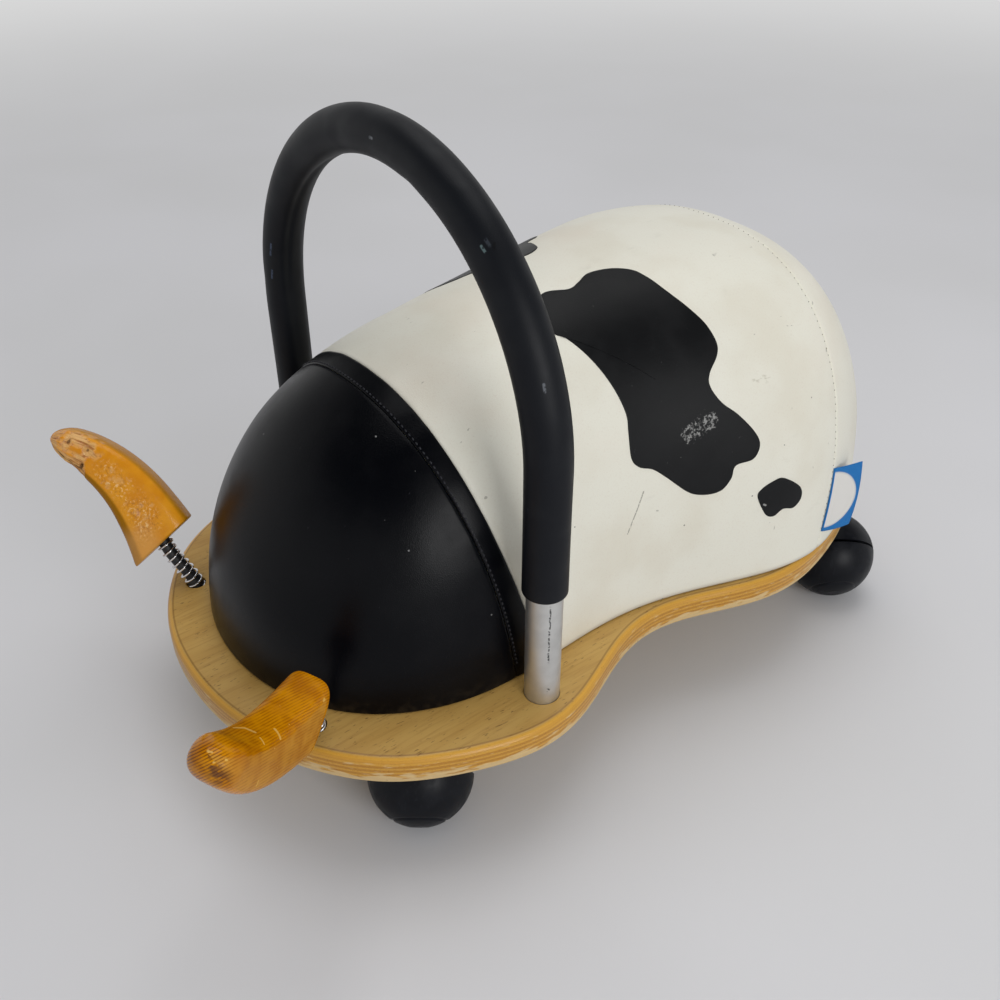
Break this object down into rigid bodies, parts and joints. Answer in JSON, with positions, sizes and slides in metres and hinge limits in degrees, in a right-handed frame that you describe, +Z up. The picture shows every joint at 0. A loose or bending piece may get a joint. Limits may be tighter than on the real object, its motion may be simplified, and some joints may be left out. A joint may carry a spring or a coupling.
{
  "type": "ride-on cow",
  "caption": "Padded cow-patterned ride-on toy on a peanut-shaped plywood board with swivelling ball casters, a hoop handle and wooden horns on coil springs.",
  "frame": {"origin": "middle of the bounding box on the floor, under the wheels", "axes": "+Y towards the tail, the head faces -Y, +X towards the cow's left flank, +Z up"},
  "size_m": [0.2921, 0.5038, 0.3562],
  "materials": {
    "plywood": "clear varnish over birch plywood",
    "raw_plywood": "bare plywood",
    "black_leather": "satin coated leather cloth",
    "white_leather": "satin coated leather cloth",
    "black_patch": "satin coated leather cloth",
    "foam": "upholstery foam",
    "label": "woven ribbon",
    "aluminium": "satin, scratched",
    "grip": "matte foam rubber sleeve",
    "plug": "moulded",
    "horn_wood": "amber varnish, worn",
    "spring_steel": "bright wire",
    "core_rubber": "matte",
    "caster_plastic": "satin moulded",
    "zinc": "zinc plated"
  },
  "bodies": {
    "cow": {"base_board": "plywood", "core_panel": "raw_plywood", "foam_core": "foam", "head_cover": "black_leather", "head_band": "black_leather", "body_cover": "white_leather", "rear_cover": "white_leather", "side_label": "label", "patch_left_large": "black_patch", "patch_left_small": "black_patch", "patch_right_large": "black_patch", "handle_tube": "aluminium", "handle_grip": "grip", "handle_plug_left": "plug", "handle_screw_left": "zinc", "handle_plug_right": "plug", "handle_screw_right": "zinc", "body_screw_1": "zinc", "body_screw_2": "zinc", "body_screw_3": "zinc", "body_screw_4": "zinc", "caster_front_left_plate": "zinc", "caster_front_left_screw_1": "zinc", "caster_front_left_screw_2": "zinc", "caster_front_left_screw_3": "zinc", "caster_front_left_screw_4": "zinc", "caster_front_right_plate": "zinc", "caster_front_right_screw_1": "zinc", "caster_front_right_screw_2": "zinc", "caster_front_right_screw_3": "zinc", "caster_front_right_screw_4": "zinc", "caster_rear_left_plate": "zinc", "caster_rear_left_screw_1": "zinc", "caster_rear_left_screw_2": "zinc", "caster_rear_left_screw_3": "zinc", "caster_rear_left_screw_4": "zinc", "caster_rear_right_plate": "zinc", "caster_rear_right_screw_1": "zinc", "caster_rear_right_screw_2": "zinc", "caster_rear_right_screw_3": "zinc", "caster_rear_right_screw_4": "zinc"},
    "horn_left_stem": {"horn_spring_left": "spring_steel", "horn_core_left": "core_rubber"},
    "horn_left": {"horn_left": "horn_wood"},
    "horn_right_stem": {"horn_spring_right": "spring_steel", "horn_core_right": "core_rubber"},
    "horn_right": {"horn_right": "horn_wood"},
    "caster_front_left_swivel": {"caster_front_left_hood": "caster_plastic", "caster_front_left_axle": "zinc"},
    "caster_front_left_wheel": {"caster_front_left_wheel": "caster_plastic"},
    "caster_front_right_swivel": {"caster_front_right_hood": "caster_plastic", "caster_front_right_axle": "zinc"},
    "caster_front_right_wheel": {"caster_front_right_wheel": "caster_plastic"},
    "caster_rear_left_swivel": {"caster_rear_left_hood": "caster_plastic", "caster_rear_left_axle": "zinc"},
    "caster_rear_left_wheel": {"caster_rear_left_wheel": "caster_plastic"},
    "caster_rear_right_swivel": {"caster_rear_right_hood": "caster_plastic", "caster_rear_right_axle": "zinc"},
    "caster_rear_right_wheel": {"caster_rear_right_wheel": "caster_plastic"}
  },
  "joints": [
    {"name": "horn_left_side_rock", "type": "hinge", "parent": "cow", "child": "horn_left_stem", "pos_m": [0.07503, -0.17378, 0.08903], "axis": [0, 1, 0], "range_deg": [-15, 15], "stiffness_Nm_per_rad": 2, "deforming": ["horn_spring_left", "horn_core_left"]},
    {"name": "horn_left_fore_rock", "type": "hinge", "parent": "horn_left_stem", "child": "horn_left", "pos_m": [0.08123, -0.17945, 0.10386], "axis": [1, 0, 0], "range_deg": [-15, 15], "stiffness_Nm_per_rad": 2},
    {"name": "horn_right_side_rock", "type": "hinge", "parent": "cow", "child": "horn_right_stem", "pos_m": [-0.07509, -0.17437, 0.08815], "axis": [0, 1, 0], "range_deg": [-15, 15], "stiffness_Nm_per_rad": 2, "deforming": ["horn_spring_right", "horn_core_right"]},
    {"name": "horn_right_fore_rock", "type": "hinge", "parent": "horn_right_stem", "child": "horn_right", "pos_m": [-0.08175, -0.17991, 0.10143], "axis": [1, 0, 0], "range_deg": [-15, 15], "stiffness_Nm_per_rad": 2},
    {"name": "caster_front_left_swivel", "type": "hinge", "parent": "cow", "child": "caster_front_left_swivel", "pos_m": [0.07991, -0.14141, 0.054], "axis": [0, 0, 1], "continuous": true},
    {"name": "caster_front_left_roll", "type": "hinge", "parent": "caster_front_left_swivel", "child": "caster_front_left_wheel", "pos_m": [0.09336, -0.124, 0.0295], "axis": [0.6481, -0.5009, -0.5736], "continuous": true},
    {"name": "caster_front_right_swivel", "type": "hinge", "parent": "cow", "child": "caster_front_right_swivel", "pos_m": [-0.07991, -0.14141, 0.054], "axis": [0, 0, 1], "continuous": true},
    {"name": "caster_front_right_roll", "type": "hinge", "parent": "caster_front_right_swivel", "child": "caster_front_right_wheel", "pos_m": [-0.06646, -0.124, 0.0295], "axis": [0.6481, -0.5009, -0.5736], "continuous": true},
    {"name": "caster_rear_left_swivel", "type": "hinge", "parent": "cow", "child": "caster_rear_left_swivel", "pos_m": [0.09218, 0.19579, 0.054], "axis": [0, 0, 1], "continuous": true},
    {"name": "caster_rear_left_roll", "type": "hinge", "parent": "caster_rear_left_swivel", "child": "caster_rear_left_wheel", "pos_m": [0.10563, 0.2132, 0.0295], "axis": [0.6481, -0.5009, -0.5736], "continuous": true},
    {"name": "caster_rear_right_swivel", "type": "hinge", "parent": "cow", "child": "caster_rear_right_swivel", "pos_m": [-0.09218, 0.19579, 0.054], "axis": [0, 0, 1], "continuous": true},
    {"name": "caster_rear_right_roll", "type": "hinge", "parent": "caster_rear_right_swivel", "child": "caster_rear_right_wheel", "pos_m": [-0.07873, 0.2132, 0.0295], "axis": [0.6481, -0.5009, -0.5736], "continuous": true}
  ]
}
